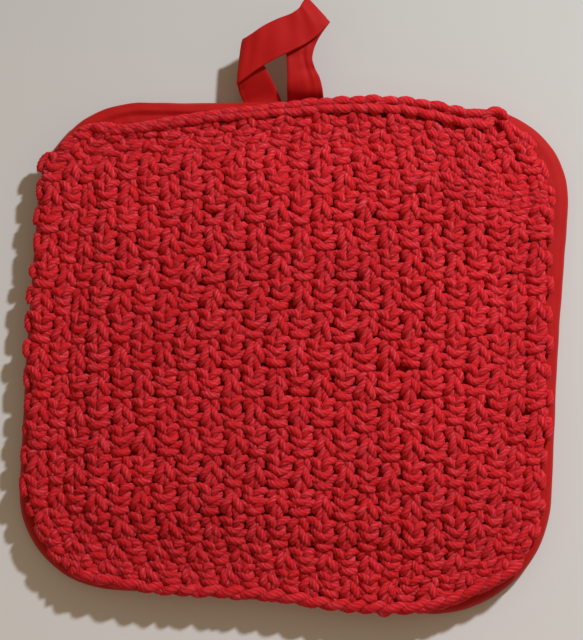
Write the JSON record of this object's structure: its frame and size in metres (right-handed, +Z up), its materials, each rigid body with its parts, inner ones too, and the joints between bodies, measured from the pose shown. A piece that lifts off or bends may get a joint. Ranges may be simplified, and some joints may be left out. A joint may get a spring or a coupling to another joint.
{
  "type": "knit potholder",
  "caption": "Padded cotton potholder with a bound rim, a hand-knitted double moss stitch panel sewn over its front, and a folded tape hanging loop.",
  "frame": {"origin": "middle of the underside of the box round the whole potholder, loop included, on the surface it lies on", "axes": "+Z up out of the knitted front, +Y towards the hanging loop, +X to the right seen from the front"},
  "size_m": [0.1806, 0.205, 0.0152],
  "materials": {
    "pad_cloth": "plain-woven cotton, matt",
    "tape_cloth": "plain-woven cotton tape, slight sheen",
    "knit_yarn": "plied worsted cotton yarn, soft matt"
  },
  "bodies": {
    "root": {"pad": "pad_cloth", "edge_binding": "tape_cloth", "knit_panel": "knit_yarn", "hanging_loop": "tape_cloth"}
  },
  "joints": []
}
